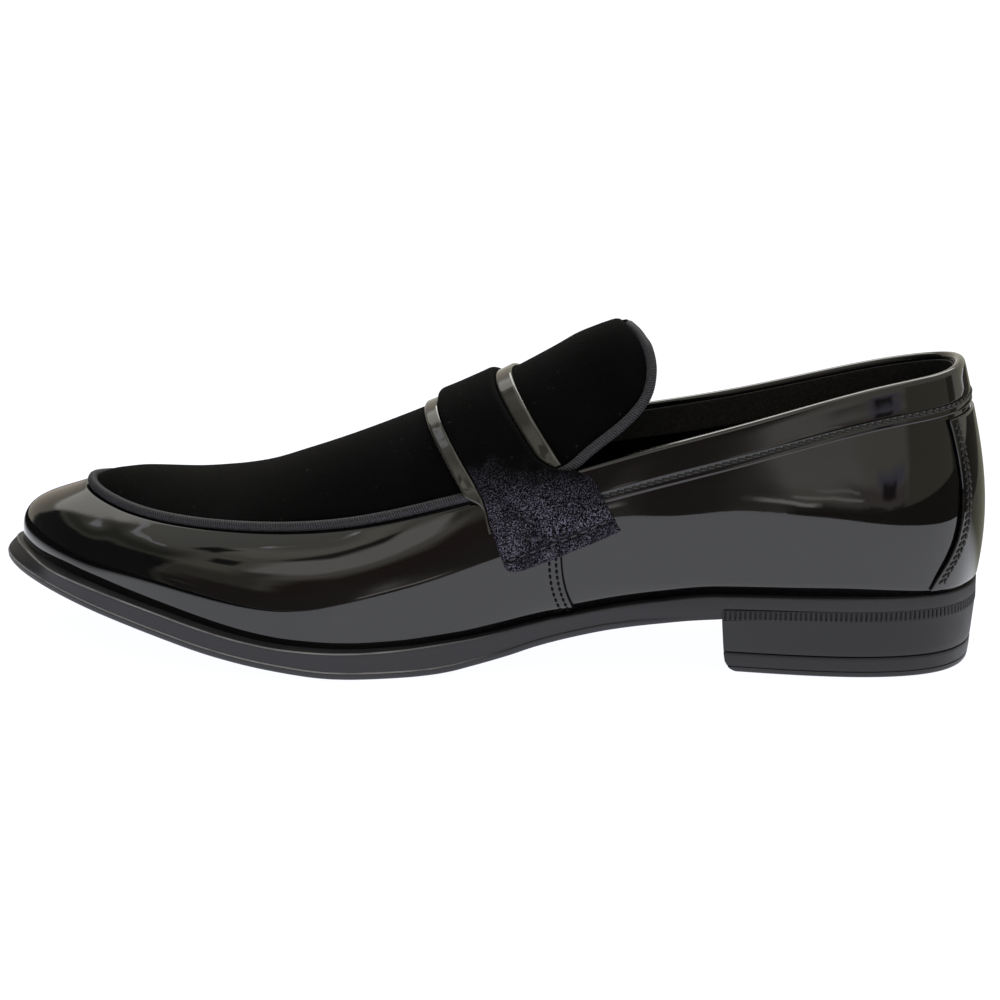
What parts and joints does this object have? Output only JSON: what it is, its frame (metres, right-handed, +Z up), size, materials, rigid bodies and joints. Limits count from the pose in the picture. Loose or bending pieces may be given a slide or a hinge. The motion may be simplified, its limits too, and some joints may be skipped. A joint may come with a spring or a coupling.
{
  "type": "moc toe loafer",
  "caption": "Left slip-on saddle loafer in patent leather with a velvet moccasin apron, piped tongue, saddle strap and stacked low heel; worn on the foot, stands on its sole.",
  "frame": {"origin": "on the floor under the middle of the shoe's box", "axes": "+X towards the heel along the sole, -X towards the toe, +Y towards the inner side of the foot, +Z up"},
  "size_m": [0.3101, 0.1024, 0.1026],
  "materials": {
    "sole_rubber": "satin moulded rubber",
    "lining_leather": "matt lining leather",
    "patent_leather": "mirror-gloss patent",
    "velvet": "deep pile velvet",
    "ribbed_ribbon": "ribbed ribbon piping"
  },
  "bodies": {
    "root": {"outsole": "sole_rubber", "heel_block": "sole_rubber", "top_lift": "sole_rubber", "insole": "lining_leather", "upper": "patent_leather", "collar_band": "patent_leather", "backstay": "patent_leather", "strap_trim_front": "patent_leather", "strap_trim_rear": "patent_leather", "apron_tongue": "velvet", "saddle_strap": "velvet", "apron_piping": "ribbed_ribbon"}
  },
  "joints": []
}
